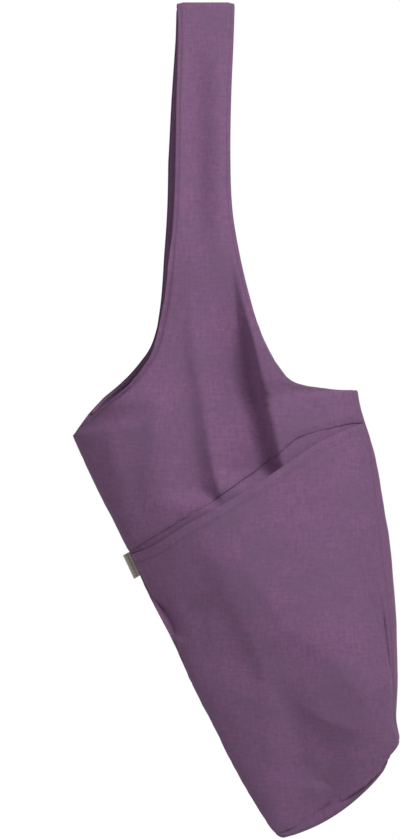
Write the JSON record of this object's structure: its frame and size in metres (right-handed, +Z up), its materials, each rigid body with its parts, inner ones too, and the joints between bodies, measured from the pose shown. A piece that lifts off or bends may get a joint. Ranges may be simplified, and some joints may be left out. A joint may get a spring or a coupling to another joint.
{
  "type": "yoga mat sling bag",
  "caption": "Cloth sling bag for a rolled mat, with a wide looped shoulder strap cut in one with the body, a slanted mouth and a large front pocket.",
  "frame": {"origin": "inside of the strap's top fold, where the bag hangs", "axes": "+Z up along the hanging bag, +X to the right as seen from the front, the pocket side faces -Y"},
  "size_m": [0.3359, 0.128, 0.8614],
  "materials": {
    "body_cloth": "matte plain weave",
    "label_cloth": "matte woven tape"
  },
  "bodies": {
    "root": {"front_yoke_and_strap": "body_cloth", "front_lower_panel": "body_cloth", "back_panel_and_strap": "body_cloth", "pocket_panel": "body_cloth", "front_left_hem": "body_cloth", "front_right_hem": "body_cloth", "back_left_hem": "body_cloth", "back_right_hem": "body_cloth", "side_label": "label_cloth"}
  },
  "joints": []
}
